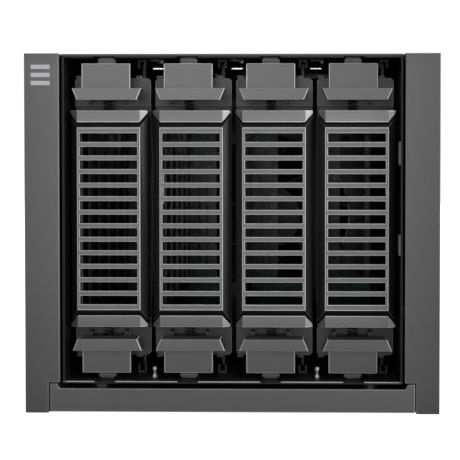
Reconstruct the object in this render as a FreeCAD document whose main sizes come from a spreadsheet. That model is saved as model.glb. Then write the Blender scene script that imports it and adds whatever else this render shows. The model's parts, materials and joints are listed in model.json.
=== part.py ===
"""Four-bay network storage enclosure. Millimetres, front towards -Y, +Z up, origin under the middle of the case."""

import FreeCAD, Part
import os
import re

import Sketcher

SIZES = {
    # outer case
    "case_width": 160.0,
    "case_depth": 230.0,
    "case_height": 139.0,
    "pillar_width": 13.4,
    "panel_skin": 2.0,
    "panel_rear_wall": 4.0,
    "panel_foot": 0.1,
    "step_height": 12.0,
    "step_inset": 9.0,
    # sheet metal cage
    "cage_half_width": 66.0,
    "cage_half_depth": 112.0,
    "cage_sheet": 1.0,
    "cage_floor": 12.0,
    "roof_sheet": 0.6,
    "roof_under": 137.5,
    "cover_top": 138.9,
    "cover_lip": 8.0,
    "flange_width": 11.0,
    "notch_half": 4.0,
    "notch_back": 101.0,
    "notch_depth": 0.4,
    # base pan
    "pan_half_width": 70.5,
    "pan_bottom": 0.6,
    "pan_top": 9.6,
    "pan_skin": 1.5,
    "ear_inner": 66.9,
    "ear_top": 11.5,
    "boss_radius": 4.0,
    "boss_span": 54.5,
    "boss_reach": 90.0,
    "foot_radius": 6.0,
    "foot_span": 60.0,
    "foot_reach": 102.0,
    # drive trays, heights measured from the middle of the bays
    "bay_pitch": 32.2,
    "bay_mid": 74.9,
    "plate_half": 15.2,
    "plate_reach": 55.3,
    "plate_corner": 1.0,
    "plate_front": 95.0,
    "plate_thick": 3.0,
    "plate_window": 12.5,
    "plate_window_reach": 37.5,
    "land_low": 42.2,
    "land_high": 44.0,
    "land_depth": 2.0,
    "rail_left": 14.8,
    "rail_right": 13.6,
    "web_thick": 1.2,
    "rail_low": 51.2,
    "rail_high": 54.2,
    "rail_back": 66.0,
    "fin_left": 2.0,
    "fin_right": 11.4,
    "fin_half": 0.6,
    "fin_top": 61.4,
    "fin_front": 84.0,
    "fin_length": 148.0,
    "stop_half": 1.25,
    "stop_left": 13.6,
    "stop_right": 10.4,
    "stop_top": 56.3,
    "pin_offset": 6.7,
    "pin_front": 66.2,
    "pin_back": 35.5,
    "pin_radius": 1.75,
    # louvred grille
    "grille_front": 109.0,
    "grille_half": 12.25,
    "grille_base_half": 15.0,
    "grille_edge": 4.0,
    "grille_reach": 35.55,
    "grille_base_reach": 39.9,
    "grille_inner_half": 12.0,
    "grille_inner_reach": 35.9,
    "grille_skin": 1.2,
    "grille_face": 1.6,
    "slot_width": 22.46,
    "slot_height": 3.39,
    "slot_pitch": 5.283,
    "cap_low": 37.7,
    "cap_base_low": 41.1,
    "cap_edge": 1.6,
    # squeeze latches
    "latch_shift": 1.3,
    "latch_low": 46.3,
    "latch_high": 50.7,
    "latch_inner_half": 11.55,
    "latch_outer_half": 13.4,
    "latch_front": 114.2,
    "latch_back": 104.4,
    "tab_half": 9.5,
    "tab_front": 106.0,
    "tab_thick": 2.0,
    "tab_top": 60.6,
    "nose_half": 3.5,
    "nose_corner": 1.0,
    "nose_low": 58.5,
    "nose_top": 63.05,
    "nose_thick": 2.0,
    "groove_height": 0.9,
    "groove_depth": 1.0,
    "stem_half": 6.0,
    "stem_low": 46.6,
    "stem_high": 52.6,
    "stem_back": 95.3,
    "rib_gap": 0.3,
    "rib_thick": 1.5,
    "rib_low": 45.0,
    "rib_high": 54.8,
    "rib_front": 100.0,
    "spring_radius": 2.0,
    "spring_bore": 1.5,
    "spring_front": 100.0,
    # tray guides on the cage
    "guide_half": 1.7,
    "guide_slot_half": 0.9,
    "guide_height": 3.3,
    "guide_web": 0.8,
    "guide_front": 93.0,
    "leaf_half": 2.25,
    "leaf_drop": 2.8,
    "leaf_front": 88.0,
    "leaf_length": 9.0,
    "leaf_thick": 0.4,
    "stud_radius": 1.1,
    "stud_height": 4.5,
    "stud_front": 103.0,
    "stud_left": 31.0,
    "stud_right": 33.0,
    # boards
    "backplane_front": 74.0,
    "board_thick": 1.6,
    "backplane_half": 64.0,
    "backplane_low": 20.0,
    "backplane_high": 130.0,
    "socket_front": 63.5,
    "socket_left": 11.0,
    "socket_right": 5.0,
    "socket_low": 40.0,
    "socket_high": 83.0,
    "control_face": 58.0,
    "control_front": 79.0,
    "control_back": 110.5,
    "control_low": 16.0,
    "control_high": 134.0,
    "port_back": 112.5,
    # fan
    "fan_x": 10.7,
    "fan_z": 63.7,
    "fan_half": 46.0,
    "fan_front": 86.0,
    "fan_back": 111.0,
    "fan_bore": 43.5,
    "fan_hole_span": 41.25,
    "fan_hole": 2.15,
    "rotor_radius": 42.7,
    "rotor_hub": 17.0,
    "rotor_front": 88.0,
    "rotor_back": 105.0,
    "shaft_radius": 1.5,
    "shaft_gap": 0.05,
    "guard_wire": 0.8,
    "guard_pitch": 6.6,
    "guard_middle": 113.0,
    # rear panel and button
    "rear_front": 111.0,
    "rear_half": 65.0,
    "fan_opening": 41.8,
    "button_x": 52.0,
    "button_z": 122.0,
    "button_radius": 4.0,
    "button_gap": 0.2,
    "screw_radius": 1.5,
    "screw_gap": 0.1,
    "head_radius": 3.0,
}
BAYS = (1, 2, 3, 4)
SLOTS = 13
NORMALS = {"XY": 1, "XZ": -1, "YZ": 1}

doc = FreeCAD.newDocument("nas_enclosure")
sheet = doc.addObject("Spreadsheet::Sheet", "dims")
for row, (alias, size) in enumerate(SIZES.items(), start=1):
    sheet.set(f"A{row}", alias.replace("_", " "))
    sheet.set(f"B{row}", str(size))
    sheet.setAlias(f"B{row}", alias)
doc.recompute()
nodes = {}


# ---------------------------------------------------------------- helpers
def linked(formula):
    """Returns a formula in which each name of the sheet reads its cell."""
    return re.sub(r"[a-z]+(?:_[a-z]+)*", lambda word: "dims." + word.group(), str(formula))


def number(formula):
    """Returns a formula's present value, as a first guess for sketch geometry."""
    return float(sheet.evalExpression(linked(formula)))


def bind(item, **formulas):
    """Binds properties to formulas; a double underscore stands for a dot."""
    for name, formula in formulas.items():
        item.setExpression(name.replace("__", "."), linked(formula))


def put(item, x, y, z):
    """Places an object at x, y, z."""
    bind(item, Placement__Base__x=x, Placement__Base__y=y, Placement__Base__z=z)


def keep(label, item):
    """Names an object and keeps it as a sub-part to be written."""
    item.Label = label
    nodes[label] = item
    return item


def box(x, y, z):
    """A box over the spans x, y and z, each a pair of formulas."""
    item = doc.addObject("Part::Box", "block")
    bind(item, Length=f"({x[1]}) - ({x[0]})", Width=f"({y[1]}) - ({y[0]})", Height=f"({z[1]}) - ({z[0]})")
    put(item, x[0], y[0], z[0])
    return item


def cylinder(axis, centre, radius, length):
    """A cylinder from centre along +X, +Y or +Z."""
    item = doc.addObject("Part::Cylinder", "round")
    turns = {"X": ((0, 1, 0), 90), "Y": ((1, 0, 0), -90), "Z": ((0, 0, 1), 0)}
    direction, angle = turns[axis]
    item.Placement.Rotation = FreeCAD.Rotation(FreeCAD.Vector(*direction), angle)
    bind(item, Radius=radius, Height=length)
    put(item, *centre)
    return item


def fuse(items):
    """One solid of several that overlap or touch."""
    item = doc.addObject("Part::MultiFuse", "union")
    item.Shapes = items
    return item


def group(items):
    """Separate solids that make one sub-part."""
    item = doc.addObject("Part::Compound", "group")
    item.Links = items
    return item


def cut(base, tools):
    """A base with tools that don't touch each other taken out of it."""
    item = doc.addObject("Part::Cut", "cut")
    item.Base = base
    item.Tool = tools[0] if len(tools) == 1 else group(tools)
    return item


def new_body(label):
    """An empty body kept as a sub-part."""
    return keep(label, doc.addObject("PartDesign::Body", "body"))


def origin_item(body, role):
    """The body's own origin plane or axis with a role."""
    return next(item for item in body.Origin.OriginFeatures if item.Role == role)


def rectangle(x, y):
    """Corners of a rectangle over two spans."""
    return [(x[0], y[0]), (x[1], y[0]), (x[1], y[1]), (x[0], y[1])]


def disc(x, y, radius):
    """A circle for a sketch."""
    return (x, y, radius)


def draw_outline(sketch, corners):
    """Draws a closed outline whose corners are held by dimensions."""
    points = [FreeCAD.Vector(number(x), number(y), 0) for x, y in corners]
    first = sketch.GeometryCount
    count = len(points)
    for i, point in enumerate(points):
        sketch.addGeometry(Part.LineSegment(point, points[(i + 1) % count]), False)
    for i in range(count):
        sketch.addConstraint(Sketcher.Constraint("Coincident", first + i, 2, first + (i + 1) % count, 1))
    for i, (x, y) in enumerate(corners):
        hold(sketch, first + i, 1, x, y, points[i])


def draw_circle(sketch, x, y, radius):
    """Draws a circle held by its centre and radius."""
    centre = FreeCAD.Vector(number(x), number(y), 0)
    first = sketch.GeometryCount
    sketch.addGeometry(Part.Circle(centre, FreeCAD.Vector(0, 0, 1), number(radius)), False)
    hold(sketch, first, 3, x, y, centre)
    index = sketch.addConstraint(Sketcher.Constraint("Radius", first, number(radius)))
    sketch.setExpression(f"Constraints[{index}]", linked(radius))


def hold(sketch, line, end, x, y, point):
    """Dimensions a point from the sketch origin."""
    across = sketch.addConstraint(Sketcher.Constraint("DistanceX", -1, 1, line, end, point.x))
    up = sketch.addConstraint(Sketcher.Constraint("DistanceY", -1, 1, line, end, point.y))
    sketch.setExpression(f"Constraints[{across}]", linked(x))
    sketch.setExpression(f"Constraints[{up}]", linked(y))


def draw(body, plane, at, shapes):
    """A sketch on one of the body's origin planes, moved to a place along that plane's axis."""
    sketch = body.newObject("Sketcher::SketchObject", "sketch")
    sketch.AttachmentSupport = [(origin_item(body, f"{plane}_Plane"), "")]
    sketch.MapMode = "FlatFace"
    sketch.setExpression("AttachmentOffset.Base.z", linked(f"{NORMALS[plane]} * ({at})"))
    for shape in shapes:
        if isinstance(shape, tuple):
            draw_circle(sketch, *shape)
        else:
            draw_outline(sketch, shape)
    return sketch


def pad(body, plane, at, length, towards, shapes):
    """Adds material from a place along the axis, towards its + or - end."""
    feature = body.newObject("PartDesign::Pad", "pad")
    feature.Profile = draw(body, plane, at, shapes)
    feature.Reversed = towards != NORMALS[plane]
    bind(feature, Length=length)
    return feature


def pocket(body, plane, at, length, towards, shapes):
    """Takes material away from a place along the axis, towards its + or - end."""
    feature = body.newObject("PartDesign::Pocket", "pocket")
    feature.Profile = draw(body, plane, at, shapes)
    feature.Reversed = towards == NORMALS[plane]
    bind(feature, Length=length)
    return feature


def pattern(body, feature, axis, length, count):
    """Repeats a feature along a row axis."""
    row = body.newObject("PartDesign::LinearPattern", "pattern")
    row.Originals = [feature]
    row.Direction = (origin_item(body, f"{axis}_Axis"), [""])
    row.Occurrences = count
    bind(row, Length=length)
    body.Tip = row
    return row


def bay_x(bay, shift=0):
    """Formula for a place across a bay, from its middle."""
    return f"({bay} - 2.5) * bay_pitch + ({shift})"


def level(side, height):
    """Formula for a height above (side 1) or below (side -1) the middle of the bays."""
    return f"bay_mid + {side} * ({height})"


def span(side, low, high):
    """The pair of levels from low to high, in rising order."""
    ends = [level(side, low), level(side, high)]
    return ends if side > 0 else ends[::-1]


# ---------------------------------------------------------------- outer case
BADGE_BARS = (127.6, 130.7, 133.8)
BADGE_X = ("-73.7 - 3.6", "-73.7 + 3.6")
BADGE_DEPTH = 0.4
BADGE_HALF = 0.85
PANEL_SCREW_X = 73.0
PANEL_SCREW_Z = (22.0, 118.0)
COVER_SCREW_X = (-52.0, 0.0, 52.0)
COVER_SCREW_Z = 134.0
PORT_GAP = 0.1


def badge_bar(z):
    """Outline of one bar of the badge."""
    return rectangle(BADGE_X, (z - BADGE_HALF, z + BADGE_HALF))


def make_side_panel(label, side):
    """A moulded side shell with the front pillar, stepped at its foot and open towards the cage."""
    body = new_body(label)
    inner = f"{side} * (case_width / 2 - pillar_width)"
    outer = f"{side} * case_width / 2"
    foot = f"{side} * (case_width / 2 - step_inset)"
    outline = [
        (inner, "step_height"),
        (inner, "case_height"),
        (outer, "case_height"),
        (outer, "panel_foot"),
        (foot, "panel_foot"),
        (foot, "step_height"),
    ]
    pad(body, "XZ", "-case_depth / 2", "case_depth", 1, [outline])
    hollow = rectangle(
        ("panel_skin - case_depth / 2", "case_depth / 2 - panel_rear_wall"),
        ("panel_foot + panel_skin", "case_height - panel_skin"),
    )
    pocket(body, "YZ", f"{side} * cage_half_width", "case_width / 2 - panel_skin - cage_half_width", side, [hollow])
    screws = [disc(side * PANEL_SCREW_X, z, "screw_radius + screw_gap") for z in PANEL_SCREW_Z]
    heads = [disc(side * PANEL_SCREW_X, z, "head_radius + 0.5") for z in PANEL_SCREW_Z]
    pocket(body, "XZ", "case_depth / 2", "panel_rear_wall", -1, screws)
    pocket(body, "XZ", "case_depth / 2", "panel_rear_wall - 1.5", -1, heads)
    if side < 0:
        pocket(body, "XZ", "-case_depth / 2", BADGE_DEPTH, 1, [badge_bar(z) for z in BADGE_BARS])


def make_badge():
    """Three plain bars let into the left pillar, standing for stacked drives."""
    body = new_body("pillar_badge")
    body.AllowCompound = True
    pad(body, "XZ", "-case_depth / 2", BADGE_DEPTH, 1, [badge_bar(z) for z in BADGE_BARS])


def make_top_cover():
    """A sheet cover with a lip turned down over the rear panel."""
    body = new_body("top_cover")
    outline = [
        ("-cage_half_depth", "roof_under + roof_sheet"),
        ("cage_half_depth", "roof_under + roof_sheet"),
        ("cage_half_depth", "cover_top - cover_lip"),
        ("cage_half_depth + 1", "cover_top - cover_lip"),
        ("cage_half_depth + 1", "cover_top"),
        ("-cage_half_depth", "cover_top"),
    ]
    pad(body, "YZ", "-cage_half_width", "2 * cage_half_width", 1, [outline])
    holes = [disc(x, COVER_SCREW_Z, "screw_radius + screw_gap") for x in COVER_SCREW_X]
    pocket(body, "XZ", "cage_half_depth + 1", 1, -1, holes)


def boss_places():
    """Places of the six bosses that carry the cage."""
    return [(f"{x} * boss_span", f"{y} * boss_reach") for x in (-1, 1) for y in (-1, 0, 1)]


def make_base_pan():
    """The base pan, whose front wall is the bar under the trays, with bosses and two ears."""
    body = new_body("base_pan")
    sides = ("-pan_half_width", "pan_half_width")
    depth = ("-case_depth / 2", "case_depth / 2")
    pad(body, "XY", "pan_bottom", "pan_top - pan_bottom", 1, [rectangle(sides, depth)])
    hollow = rectangle(
        ("panel_skin - pan_half_width", "pan_half_width - panel_skin"),
        ("panel_skin - case_depth / 2", "case_depth / 2 - panel_skin"),
    )
    pocket(body, "XY", "pan_top", "pan_top - pan_bottom - pan_skin", -1, [hollow])
    ears = []
    for side in (-1, 1):
        inner = f"{side} * ear_inner"
        outer = f"{side} * pan_half_width"
        ears.append([(inner, "pan_top"), (outer, "pan_top"), (outer, "ear_top"), (f"{side} * (ear_inner + 1)", "ear_top")])
    pad(body, "XZ", "-case_depth / 2", 4, 1, ears)
    bosses = [disc(x, y, "boss_radius") for x, y in boss_places()]
    pad(body, "XY", "pan_bottom", "cage_floor - cage_sheet - pan_bottom", 1, bosses)
    pocket(body, "XY", "pan_bottom", 12, 1, [disc(x, y, "screw_radius + screw_gap") for x, y in boss_places()])
    pocket(body, "XY", "pan_bottom", 2.4, 1, [disc(x, y, "head_radius + 0.2") for x, y in boss_places()])


def make_feet():
    """Four rubber discs under the pan."""
    discs = []
    for x in (-1, 1):
        for y in (-1, 1):
            discs.append(cylinder("Z", (f"{x} * foot_span", f"{y} * foot_reach", 0), "foot_radius", "pan_bottom"))
    keep("feet", group(discs))


# ---------------------------------------------------------------- cage
def notch(body, at, depth):
    """Cuts the latch notches in a sheet's front edge."""
    outline = rectangle(
        (bay_x(1, "-latch_shift - notch_half"), bay_x(1, "-latch_shift + notch_half")),
        ("-cage_half_depth - 1", "-notch_back"),
    )
    pattern(body, pocket(body, "XY", at, depth, 1, [outline]), "X", "3 * bay_pitch", len(BAYS))


def make_chassis_tub():
    """The bent sheet that makes the cage's floor and walls, with flanges for the side panels' screws."""
    body = new_body("chassis_tub")
    wall = "cage_half_width - cage_sheet"
    outline = [
        ("-cage_half_width", "cage_floor - cage_sheet"),
        ("cage_half_width", "cage_floor - cage_sheet"),
        ("cage_half_width", "roof_under"),
        (wall, "roof_under"),
        (wall, "cage_floor"),
        (f"-({wall})", "cage_floor"),
        (f"-({wall})", "roof_under"),
        ("-cage_half_width", "roof_under"),
    ]
    pad(body, "XZ", "-cage_half_depth", "2 * cage_half_depth", 1, [outline])
    flanges = [
        rectangle((f"{a} * cage_half_width", f"{b} * (cage_half_width + flange_width)"), ("14", "roof_under - 1"))
        for a, b in ((-1, -1), (1, 1))
    ]
    pad(body, "XZ", "rear_front", 1.2, -1, flanges)
    screws = [disc(side * PANEL_SCREW_X, z, "screw_radius + screw_gap") for side in (-1, 1) for z in PANEL_SCREW_Z]
    pocket(body, "XZ", "rear_front", 1.2, -1, screws)
    floor_holes = [disc(x, y, "screw_radius + screw_gap") for x, y in boss_places()]
    pocket(body, "XY", "cage_floor - cage_sheet", "cage_sheet", 1, floor_holes)
    notch(body, "cage_floor - notch_depth", "notch_depth")


def make_cage_roof():
    """The sheet over the trays, with the upper latch notches."""
    body = new_body("cage_roof")
    outline = rectangle(("-cage_half_width", "cage_half_width"), ("-cage_half_depth", "cage_half_depth"))
    pad(body, "XY", "roof_under", "roof_sheet", 1, [outline])
    notch(body, "roof_under", "roof_sheet")


def make_guides(label, side, face):
    """Channels that the fins of the trays run in."""
    channels = []
    for bay in BAYS:
        for shift in ("-fin_left", "fin_right"):
            middle = bay_x(bay, shift)
            tip = f"{face} - {side} * guide_height"
            web = f"{face} - {side} * guide_web"
            heights = (tip, face) if side > 0 else (face, tip)
            slot = (tip, web) if side > 0 else (web, tip)
            outer = box((f"{middle} - guide_half", f"{middle} + guide_half"), ("-guide_front", "rail_back"), heights)
            inner_x = (f"{middle} - guide_slot_half", f"{middle} + guide_slot_half")
            channels.append(cut(outer, [box(inner_x, ("-guide_front", "rail_back"), slot)]))
    keep(label, group(channels))


def make_bay_springs():
    """Leaf springs between the trays, riveted to the roof in front and curled at their low ends."""
    leaves = []
    for bay in BAYS[1:]:
        middle = bay_x(bay, "-plate_half - 0.2")
        sides = (f"{middle} - leaf_half", f"{middle} + leaf_half")
        low_end = "leaf_length - leaf_front"
        ramps = []
        for lift in ("0", "leaf_thick"):
            ramp = doc.addObject("Part::Wedge", "leaf")
            bind(ramp, Xmin=sides[0], Xmax=sides[1], X2min=sides[0], X2max=sides[1])
            bind(ramp, Ymin=f"3 * {lift} - leaf_front", Ymax=f"{low_end} + {lift}")
            bind(ramp, Zmin="roof_under - leaf_thick", Zmax="roof_under")
            bind(ramp, Z2min=f"roof_under - leaf_drop + {lift}", Z2max="roof_under")
            ramps.append(ramp)
        tongue = box(sides, ("-leaf_front - 4", "-leaf_front"), ("roof_under - leaf_thick", "roof_under"))
        curl = box(sides, (f"{low_end} - leaf_thick", low_end), ("roof_under - leaf_drop - 0.2", "roof_under - leaf_drop + 0.2"))
        rivet = cylinder("Z", (f"{middle} + leaf_half - 0.8", "-leaf_front - 2", "roof_under - 1.1"), 0.7, 1.1)
        leaves.append(fuse([cut(ramps[0], [ramps[1]]), tongue, curl, rivet]))
    keep("bay_springs", group(leaves))


def make_floor_studs():
    """Two bright studs on the floor, between the outer pairs of trays."""
    studs = []
    for x in ("-stud_left", "stud_right"):
        place = (x, "-stud_front", "cage_floor")
        studs.append(cylinder("Z", place, "stud_radius", "stud_height"))
    keep("floor_studs", group(studs))


# ---------------------------------------------------------------- trays
def make_carrier(bay):
    """A moulded tray: front plate with finger rests, C-shaped frame round the drive and guide fins."""
    body = new_body(f"tray_carrier_{bay}")
    put(body, bay_x(bay), 0, 0)
    half, reach, corner = "plate_half", "plate_reach", "plate_corner"
    outline = []
    for x, z in ((-1, -1), (1, -1), (1, 1), (-1, 1)):
        beside = (f"{x} * {half}", level(z, f"{reach} - {corner}"))
        above = (f"{x} * ({half} - {corner})", level(z, reach))
        outline += [beside, above] if x * z > 0 else [above, beside]
    pad(body, "XZ", "-plate_front", "plate_thick", 1, [outline])
    window = rectangle(("-plate_window", "plate_window"), span(1, "-plate_window_reach", "plate_window_reach"))
    pocket(body, "XZ", "-plate_front", "plate_thick", 1, [window])
    lands = [rectangle(("-plate_half - 0.1", "plate_half + 0.1"), span(side, "land_low", "land_high")) for side in (1, -1)]
    pocket(body, "XZ", "-plate_front", "land_depth", 1, lands)
    frame = [
        ("-rail_left", level(-1, "rail_high")),
        ("rail_right", level(-1, "rail_high")),
        ("rail_right", level(-1, "rail_low")),
        ("web_thick - rail_left", level(-1, "rail_low")),
        ("web_thick - rail_left", level(1, "rail_low")),
        ("rail_right", level(1, "rail_low")),
        ("rail_right", level(1, "rail_high")),
        ("-rail_left", level(1, "rail_high")),
    ]
    pad(body, "XZ", "plate_thick - plate_front", "rail_back + plate_front - plate_thick", 1, [frame])
    opening = rectangle(("-82", "-64"), span(1, -40, 40))
    windows = pocket(body, "YZ", "-rail_left", "web_thick", 1, [opening])
    pattern(body, windows, "Y", 120, 5)
    fins = []
    for side in (1, -1):
        for middle in ("-fin_left", "fin_right"):
            fins.append(rectangle((f"{middle} - fin_half", f"{middle} + fin_half"), span(side, "rail_high", "fin_top")))
    pad(body, "XZ", "-fin_front", "fin_length", 1, fins)
    stops = []
    for side in (1, -1):
        for middle in ("-stop_left", "stop_right"):
            stops.append(rectangle((f"{middle} - stop_half", f"{middle} + stop_half"), span(side, "plate_reach", "stop_top")))
    pad(body, "XZ", "0.5 - plate_front", "plate_thick - 1", 1, stops)
    ribs = []
    for side in (1, -1):
        for hand in (-1, 1):
            near = f"-latch_shift + {hand} * (stem_half + rib_gap)"
            far = f"-latch_shift + {hand} * (stem_half + rib_gap + rib_thick)"
            across = (near, far) if hand > 0 else (far, near)
            ribs.append(rectangle(across, span(side, "rib_low", "rib_high")))
    pad(body, "XZ", "-plate_front", "rib_front - plate_front", -1, ribs)
    holes = [disc("-pin_offset", "-pin_front", "pin_radius"), disc("-pin_offset", "pin_back", "pin_radius")]
    pocket(body, "XY", level(-1, "rail_high"), "2 * rail_high", 1, holes)
    ledges = [
        rectangle(("-grille_base_half", "grille_base_half"), span(side, "cap_base_low", "land_low")) for side in (1, -1)
    ]
    pad(body, "XZ", "-plate_front", "grille_front - cap_edge - plate_front", -1, ledges)
    for side in (1, -1):
        rest = body.newObject("PartDesign::AdditiveWedge", "finger_rest")
        low, high = span(side, "cap_low", "land_low")
        base_low, base_high = span(side, "cap_base_low", "land_low")
        bind(rest, Xmin="-grille_half", Xmax="grille_half", X2min="-grille_base_half", X2max="grille_base_half")
        bind(rest, Ymin="-grille_front", Ymax="cap_edge - grille_front")
        bind(rest, Zmin=low, Zmax=high, Z2min=base_low, Z2max=base_high)
    body.Tip = rest


def frustum(half, base_half, reach, base_reach, front):
    """A four-sided block that widens from its front, then runs straight back to the tray's plate."""
    item = doc.addObject("Part::Wedge", "frustum")
    bind(item, Xmin=f"-({half})", Xmax=half, X2min=f"-({base_half})", X2max=base_half)
    bind(item, Ymin=front, Ymax="grille_edge - grille_front")
    bind(item, Zmin=level(-1, reach), Zmax=level(1, reach), Z2min=level(-1, base_reach), Z2max=level(1, base_reach))
    sides = (f"-({base_half})", base_half)
    straight = box(sides, ("grille_edge - grille_front", "-plate_front"), span(1, f"-({base_reach})", base_reach))
    return fuse([item, straight])


def make_grille(bay):
    """A hollow grille with chamfered edges and a ladder of thirteen horizontal slots."""
    shell = frustum("grille_half", "grille_base_half", "grille_reach", "grille_base_reach", "-grille_front")
    hollow = frustum(
        "grille_inner_half",
        "grille_base_half - grille_skin",
        "grille_inner_reach",
        "grille_base_reach - grille_skin",
        "grille_face - grille_front",
    )
    slots = []
    for row in range(SLOTS):
        middle = f"({row} - {SLOTS // 2}) * slot_pitch"
        heights = (level(1, f"{middle} - slot_height / 2"), level(1, f"{middle} + slot_height / 2"))
        depth = ("-grille_front - 1", "grille_face - grille_front + 0.1")
        slots.append(box(("-slot_width / 2", "slot_width / 2"), depth, heights))
    grille = cut(cut(shell, [hollow]), slots)
    put(grille, bay_x(bay), 0, 0)
    keep(f"tray_grille_{bay}", grille)


def make_latch(label, bay, side):
    """A squeeze latch: finger pad, tab, chamfered nose and a stem that runs between the ribs."""
    body = new_body(label)
    put(body, bay_x(bay), 0, 0)
    finger = [
        ("-latch_inner_half", level(side, "latch_low")),
        ("latch_inner_half", level(side, "latch_low")),
        ("latch_outer_half", level(side, "latch_high")),
        ("-latch_outer_half", level(side, "latch_high")),
    ]
    pad(body, "XZ", "-latch_front", "latch_front - latch_back", 1, [finger])
    tab = rectangle(("-latch_shift - tab_half", "-latch_shift + tab_half"), span(side, "latch_high", "tab_top"))
    pad(body, "XZ", "-tab_front", "tab_thick", 1, [tab])
    nose = [
        ("-latch_shift - nose_half", level(side, "nose_low")),
        ("-latch_shift + nose_half", level(side, "nose_low")),
        ("-latch_shift + nose_half", level(side, "nose_top - nose_corner")),
        ("-latch_shift + nose_half - nose_corner", level(side, "nose_top")),
        ("-latch_shift - nose_half + nose_corner", level(side, "nose_top")),
        ("-latch_shift - nose_half", level(side, "nose_top - nose_corner")),
    ]
    pad(body, "XZ", "tab_thick - tab_front", "nose_thick", 1, [nose])
    across = ("-latch_shift - nose_half - 1", "-latch_shift + nose_half + 1")
    groove = rectangle(across, span(side, "tab_top - 0.01", "tab_top + groove_height"))
    pocket(body, "XZ", "tab_thick - tab_front", "groove_depth", 1, [groove])
    stem = rectangle(("-latch_shift - stem_half", "-latch_shift + stem_half"), span(side, "stem_low", "stem_high"))
    pad(body, "XZ", "-latch_back", "latch_back - stem_back", 1, [stem])


def make_latch_spring(label, bay, side):
    """The sleeve that a latch's coil spring fills, standing on the finger rest."""
    centre = (bay_x(bay, "-latch_shift"), "-spring_front", span(side, "land_low", "stem_low")[0])
    outside = cylinder("Z", centre, "spring_radius", "stem_low - land_low")
    inside = cylinder("Z", centre, "spring_bore", "stem_low - land_low")
    keep(label, cut(outside, [inside]))


def make_drive_pins(bay):
    """Four headed pins in the tray's rails, which hold a drive by its side holes."""
    pins = []
    for side in (1, -1):
        for y in ("-pin_front", "pin_back"):
            shank_foot = span(side, "rail_low", "rail_high")[0]
            head_foot = span(side, "rail_high", "rail_high + 1.2")[0]
            shank = cylinder("Z", (bay_x(bay, "-pin_offset"), y, shank_foot), "pin_radius", "rail_high - rail_low")
            head = cylinder("Z", (bay_x(bay, "-pin_offset"), y, head_foot), "pin_radius + 1.25", 1.2)
            pins.append(fuse([shank, head]))
    keep(f"drive_pins_{bay}", group(pins))


def make_tray(bay):
    """All the pieces of one tray."""
    make_carrier(bay)
    make_grille(bay)
    make_drive_pins(bay)
    for name, side in (("upper", 1), ("lower", -1)):
        make_latch(f"latch_{name}_{bay}", bay, side)
        make_latch_spring(f"latch_spring_{name}_{bay}", bay, side)


# ---------------------------------------------------------------- boards and ports
LINK_Z = (90.0, 118.0)
LAN_X = (-58.0, -44.5)
LAN_Z = (70.0, 86.0)
LAN_FRONT = 91.0
LAN_CAVITY_X = (-55.0, -47.5)
LAN_CAVITY_Z = (71.9, 84.1)
LAN_CAVITY_FRONT = 97.0
USB_X = (-58.0, -54.6)
USB_WIDTH = 9.2
USB_LOWS = (34.0, 48.0)
USB_FRONT = 103.0
JACK_X = (-58.0, -47.0)
JACK_Z = (18.0, 29.0)
JACK_FRONT = 98.0
JACK_BORE = 3.0
SINK_Z = (92.0, 113.0)
SINK_Y = (86.0, 106.0)
SINK_FINS = 6
STANDOFF_Y = (84.5, 105.0)
STANDOFF_Z = (22.0, 129.0)


def around(x, z, gap):
    """An outline that clears a port by a gap."""
    return rectangle((x[0] - gap, x[1] + gap), (z[0] - gap, z[1] + gap))


def make_backplane():
    """The board behind the drives, with an air window beside each connector."""
    body = new_body("backplane_board")
    outline = rectangle(("-backplane_half", "backplane_half"), ("backplane_low", "backplane_high"))
    pad(body, "XZ", "backplane_front", "board_thick", 1, [outline])
    window = rectangle((bay_x(1, 0), bay_x(1, 13)), (30, 120))
    windows = pocket(body, "XZ", "backplane_front", "board_thick", 1, [window])
    pattern(body, windows, "X", "3 * bay_pitch", len(BAYS))


def make_backplane_brackets():
    """Angle brackets that hold the backplane to the cage's walls."""
    brackets = []
    back = "backplane_front + board_thick"
    for side in (-1, 1):
        near, far = f"{side} * (backplane_half - 3)", f"{side} * (cage_half_width - cage_sheet)"
        edge = f"{side} * (cage_half_width - cage_sheet - 1.2)"
        across = (near, far) if side > 0 else (far, near)
        wall = (edge, far) if side > 0 else (far, edge)
        flat = box(across, (back, f"{back} + 1.2"), (24, 126))
        turned = box(wall, (f"{back}", f"{back} + 4.6"), (24, 126))
        brackets.append(fuse([flat, turned]))
    keep("backplane_brackets", group(brackets))


def make_drive_sockets():
    """A drive connector for each bay, with a slot for the drive's blade."""
    sockets = []
    for bay in BAYS:
        across = (bay_x(bay, "-socket_left"), bay_x(bay, "-socket_right"))
        housing = box(across, ("socket_front", "backplane_front"), ("socket_low", "socket_high"))
        blade_x = (bay_x(bay, "-socket_left + 2"), bay_x(bay, "-socket_right - 2"))
        blade = box(blade_x, ("socket_front", "backplane_front - 3"), ("socket_low + 2", "socket_high - 2"))
        sockets.append(cut(housing, [blade]))
    keep("drive_sockets", group(sockets))


def make_controller_board():
    """The upright main board behind the backplane."""
    body = new_body("controller_board")
    outline = rectangle(("control_front", "control_back"), ("control_low", "control_high"))
    pad(body, "YZ", "-control_face", "board_thick", -1, [outline])


def make_board_standoffs():
    """Pillars between the cage's left wall and the main board."""
    pillars = []
    length = "cage_half_width - cage_sheet - control_face - board_thick"
    for y in STANDOFF_Y:
        for z in STANDOFF_Z:
            pillars.append(cylinder("X", ("cage_sheet - cage_half_width", y, z), 2.5, length))
    keep("board_standoffs", group(pillars))


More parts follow.
